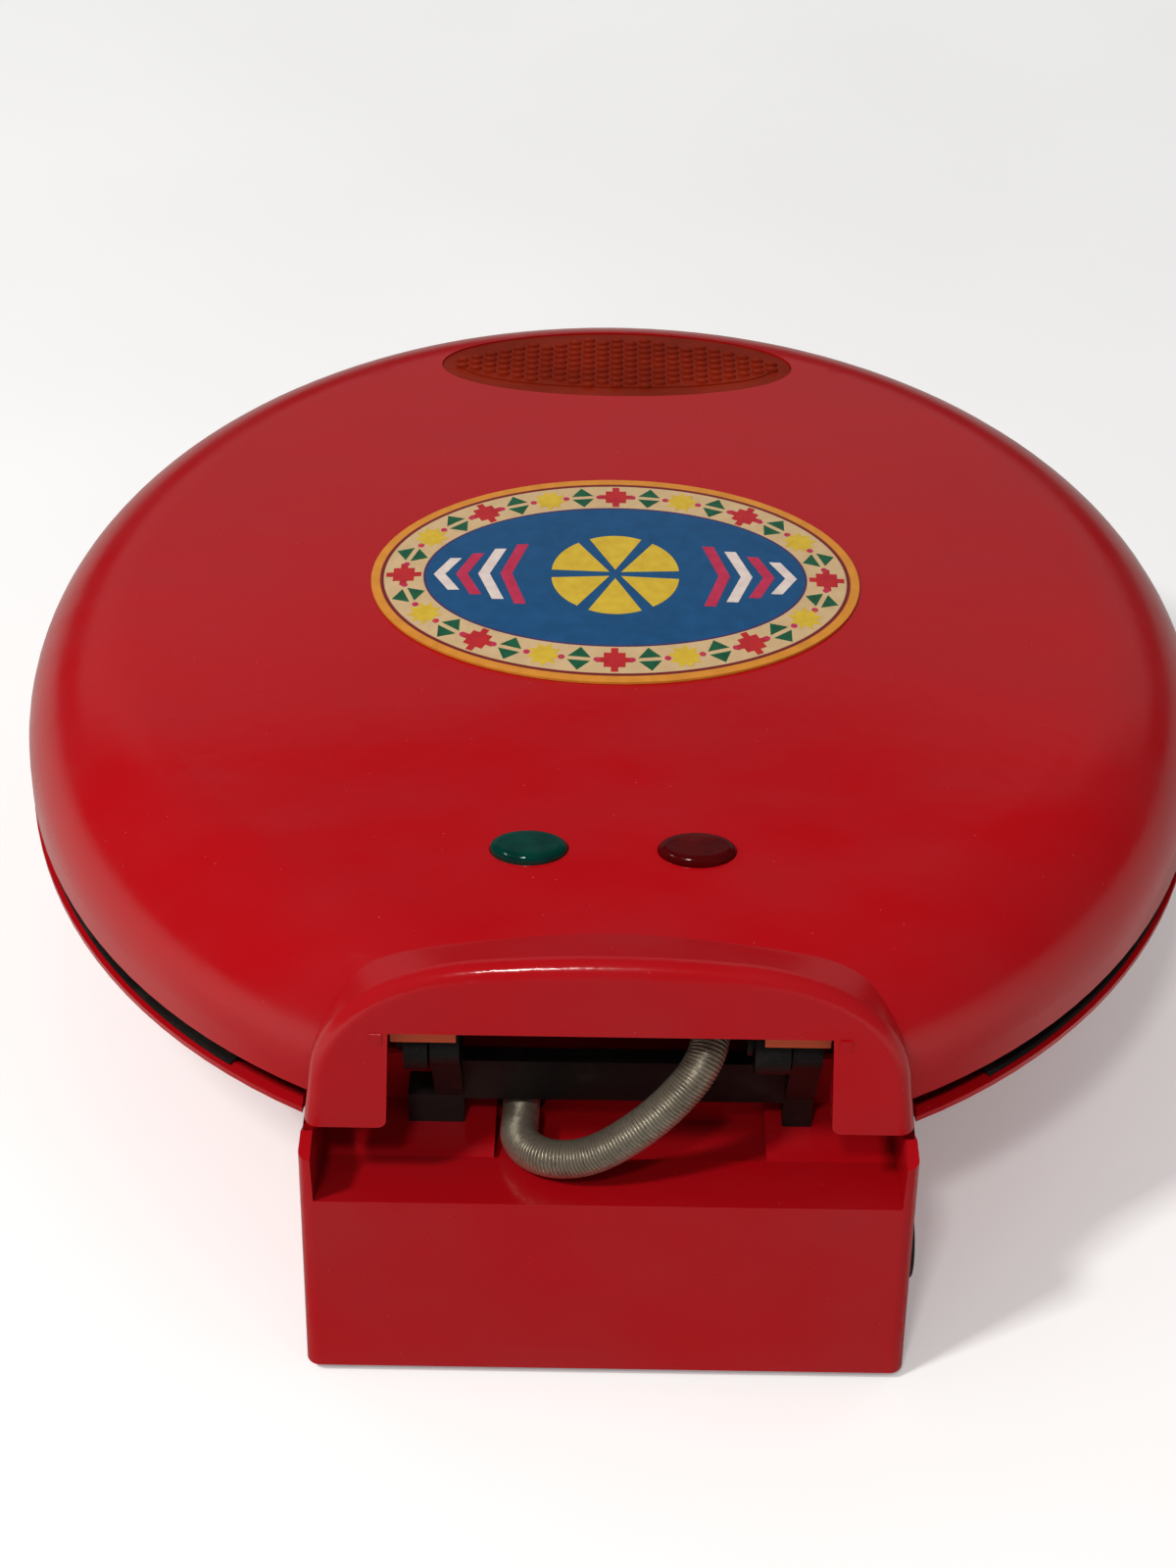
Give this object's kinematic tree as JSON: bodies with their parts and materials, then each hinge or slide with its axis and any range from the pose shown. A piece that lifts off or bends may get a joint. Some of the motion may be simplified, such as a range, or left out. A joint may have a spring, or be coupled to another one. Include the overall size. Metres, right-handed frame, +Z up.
{
  "type": "quesadilla maker",
  "caption": "Round countertop quesadilla maker: shallow domed lid hinged to a bowl-shaped base, with wedge-pocket cooking plates, an arch over the hinge and a wire guard loop.",
  "frame": {"origin": "on the table, below the middle of the round shells; the bottom centre of the box around the part", "axes": "+Z up, +Y towards the hinge and the rear box, -Y towards the grip, +X to the left when seen from the hinge side"},
  "size_m": [0.28, 0.28, 0.1175],
  "materials": {
    "red_shell": "glossy",
    "black_plastic": "satin",
    "black_phenolic": "satin",
    "white_plastic": "matte",
    "steel": "zinc plated",
    "rubber_foot": "matte",
    "plate_coating": "dark non-stick coating",
    "element_sheath": "oxidised",
    "reflector_sheet": "bare sheet",
    "lamp_glass": "clear",
    "grip_brown": "satin",
    "badge_print": "printed film",
    "green_lens": "clear tinted",
    "red_lens": "clear tinted",
    "guard_steel": "wound wire"
  },
  "bodies": {
    "base": {"base_shell": "red_shell", "base_cover": "black_plastic", "cover_screws": "steel", "foot_front_left": "rubber_foot", "foot_front_right": "rubber_foot", "foot_rear_left": "rubber_foot", "foot_rear_right": "rubber_foot", "mains_gland": "rubber_foot", "terminal_block": "white_plastic", "base_frame": "black_phenolic", "base_frame_screws": "steel", "hinge_bracket": "black_phenolic", "bracket_screws": "steel", "hinge_pin_left": "steel", "hinge_pin_right": "steel", "lower_plate": "plate_coating", "lower_element": "element_sheath", "lower_reflector": "reflector_sheet", "lower_nuts": "steel", "thermostat": "white_plastic", "thermal_fuse": "reflector_sheet", "base_guard_bush": "black_plastic", "wire_guard": "guard_steel"},
    "lid": {"lid_shell": "red_shell", "lid_frame": "black_phenolic", "lid_frame_screws": "steel", "lid_guard_bush": "black_plastic", "lamp_holder": "black_plastic", "upper_plate": "plate_coating", "upper_element": "element_sheath", "upper_reflector": "reflector_sheet", "upper_nuts": "steel", "neon_lamps": "lamp_glass", "grip_insert": "grip_brown", "badge": "badge_print", "ready_lens": "green_lens", "power_lens": "red_lens"}
  },
  "joints": [
    {"name": "lid_hinge", "type": "hinge", "parent": "base", "child": "lid", "pos_m": [0, 0.1155, 0.0838], "axis": [-1, 0, 0], "range_deg": [0, 100], "deforming": ["wire_guard"]}
  ]
}
